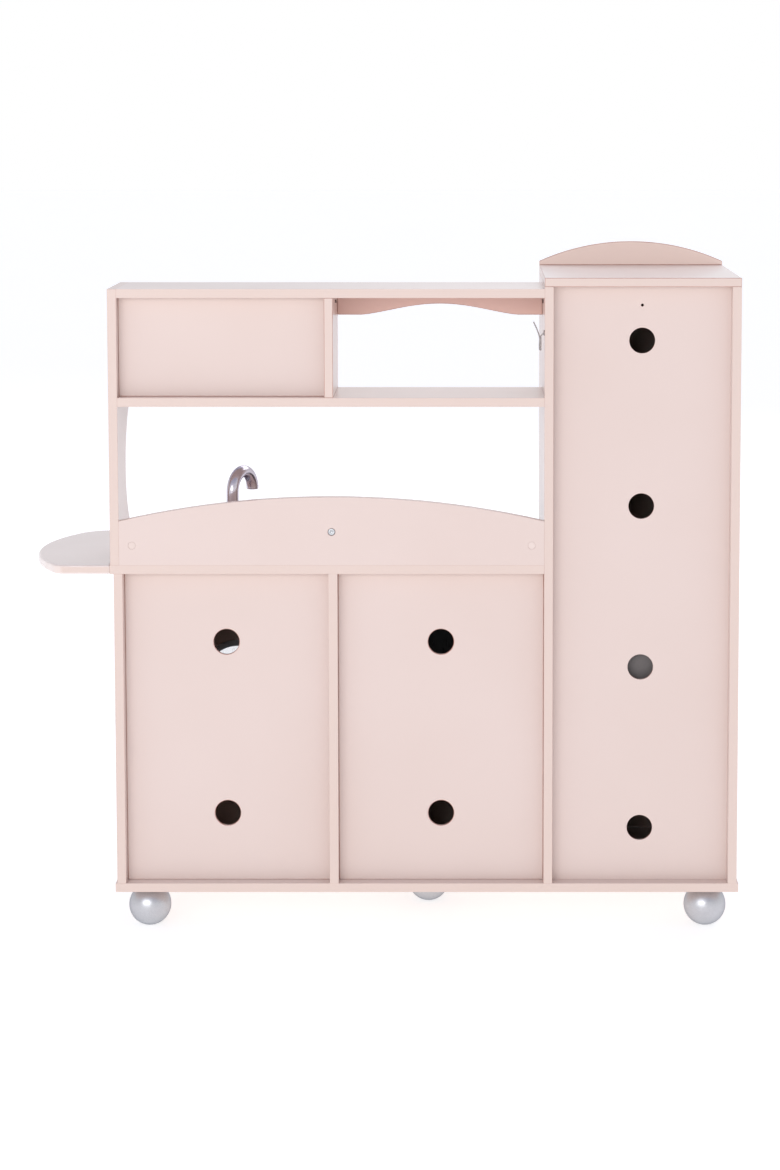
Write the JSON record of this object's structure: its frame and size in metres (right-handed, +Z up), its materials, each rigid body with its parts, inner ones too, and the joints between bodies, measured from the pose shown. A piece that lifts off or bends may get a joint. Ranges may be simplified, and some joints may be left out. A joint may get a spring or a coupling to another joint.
{
  "type": "toy kitchen",
  "caption": "Child's play kitchen of painted boards on ball feet: fridge tower, oven and washer under a worktop with sink, faucet and hob, rounded side table, microwave and open shelf.",
  "frame": {"origin": "centre of the bounding box at floor level, on the flats of the ball feet", "axes": "+X to the right seen from the front, front faces -Y, +Z up"},
  "size_m": [0.971, 0.322, 0.932],
  "materials": {
    "painted_board": "satin lacquer on smooth board",
    "silver_paint": "satin metallic",
    "steel": "satin",
    "zinc_fastener": "bright zinc",
    "cap_pink": "satin",
    "bin_plastic": "fine texture",
    "hob_black": "gloss",
    "smoked_window": "smoked clear plastic",
    "clear_window": "clear plastic",
    "clock_cream": "satin",
    "hand_black": "satin"
  },
  "bodies": {
    "root": {"base_board": "painted_board", "ball_feet": "silver_paint", "washer_side_panel": "painted_board", "centre_divider": "painted_board", "tower_inner_side": "painted_board", "tower_outer_side": "painted_board", "washer_back_panel": "painted_board", "oven_back_panel": "painted_board", "tower_back_panel": "painted_board", "microwave_back_panel": "painted_board", "worktop": "painted_board", "side_table": "painted_board", "upper_side_panel": "painted_board", "upper_top_board": "painted_board", "upper_shelf": "painted_board", "upper_divider": "painted_board", "valance": "painted_board", "backsplash": "painted_board", "cover_caps": "cap_pink", "tower_top": "painted_board", "crown": "painted_board", "fridge_shelf": "painted_board", "fridge_floor": "painted_board", "drawer_floor": "painted_board", "oven_control_panel": "painted_board", "oven_kick_panel": "painted_board", "oven_rack": "steel", "hob_plate": "hob_black", "hob_rings": "silver_paint", "sink_basin": "steel", "faucet_base": "steel", "clock_face": "clock_cream", "clock_spindle": "zinc_fastener", "wire_hook": "steel", "hinge_pins": "zinc_fastener", "screws_and_bolts": "zinc_fastener"},
    "fridge_door": {"fridge_door": "painted_board", "fridge_handle": "silver_paint"},
    "freezer_drawer": {"drawer_front": "painted_board", "freezer_bin": "bin_plastic", "drawer_handle": "silver_paint"},
    "cupboard_door": {"cupboard_door": "painted_board", "cupboard_handle": "silver_paint"},
    "oven_door": {"oven_door": "painted_board", "oven_window": "smoked_window", "oven_handle": "silver_paint"},
    "washer_door": {"washer_door": "painted_board", "washer_handle": "silver_paint", "porthole_ring": "silver_paint", "porthole_window": "clear_window"},
    "microwave_door": {"microwave_door": "painted_board", "microwave_window": "smoked_window", "microwave_handle": "silver_paint"},
    "faucet": {"faucet": "steel"},
    "tap_left": {"tap_left": "steel"},
    "tap_right": {"tap_right": "steel"},
    "oven_knob_left": {"oven_knob_left": "silver_paint"},
    "oven_knob_right": {"oven_knob_right": "silver_paint"},
    "minute_hand": {"minute_hand": "hand_black"},
    "hour_hand": {"hour_hand": "hand_black"}
  },
  "joints": [
    {"name": "fridge_door_hinge", "type": "hinge", "parent": "root", "child": "fridge_door", "pos_m": [-0.4635, -0.131, 0.67825], "axis": [0, 0, -1], "range_deg": [0, 90]},
    {"name": "freezer_drawer_slide", "type": "slide", "parent": "root", "child": "freezer_drawer", "axis": [0, -1, 0], "range_m": [0, 0.18]},
    {"name": "cupboard_door_hinge", "type": "hinge", "parent": "root", "child": "cupboard_door", "pos_m": [-0.4635, -0.131, 0.16487], "axis": [0, 0, -1], "range_deg": [0, 90]},
    {"name": "oven_door_hinge", "type": "hinge", "parent": "root", "child": "oven_door", "pos_m": [-0.07825, -0.131, 0.168], "axis": [1, 0, 0], "range_deg": [0, 90]},
    {"name": "washer_door_hinge", "type": "hinge", "parent": "root", "child": "washer_door", "pos_m": [0.3455, -0.131, 0.28], "axis": [0, 0, 1], "range_deg": [0, 90]},
    {"name": "microwave_door_hinge", "type": "hinge", "parent": "root", "child": "microwave_door", "pos_m": [0.35, 0.029, 0.8035], "axis": [0, 0, 1], "range_deg": [0, 90]},
    {"name": "faucet_swivel", "type": "hinge", "parent": "root", "child": "faucet", "pos_m": [0.209, 0.091, 0.55], "axis": [0, 0, 1], "range_deg": [-55, 110]},
    {"name": "tap_left_turn", "type": "hinge", "parent": "root", "child": "tap_left", "pos_m": [0.164, 0.091, 0.52], "axis": [0, 0, 1], "range_deg": [0, 90]},
    {"name": "tap_right_turn", "type": "hinge", "parent": "root", "child": "tap_right", "pos_m": [0.254, 0.091, 0.52], "axis": [0, 0, 1], "range_deg": [0, 90]},
    {"name": "oven_knob_left_turn", "type": "hinge", "parent": "root", "child": "oven_knob_left", "pos_m": [-0.15225, -0.139, 0.468], "axis": [0, -1, 0], "continuous": true},
    {"name": "oven_knob_right_turn", "type": "hinge", "parent": "root", "child": "oven_knob_right", "pos_m": [-0.00425, -0.139, 0.468], "axis": [0, -1, 0], "continuous": true},
    {"name": "minute_hand_turn", "type": "hinge", "parent": "root", "child": "minute_hand", "pos_m": [0.0695, 0.142, 0.5536], "axis": [0, -1, 0], "continuous": true},
    {"name": "hour_hand_turn", "type": "hinge", "parent": "root", "child": "hour_hand", "pos_m": [0.0695, 0.142, 0.5536], "axis": [0, -1, 0], "continuous": true}
  ]
}
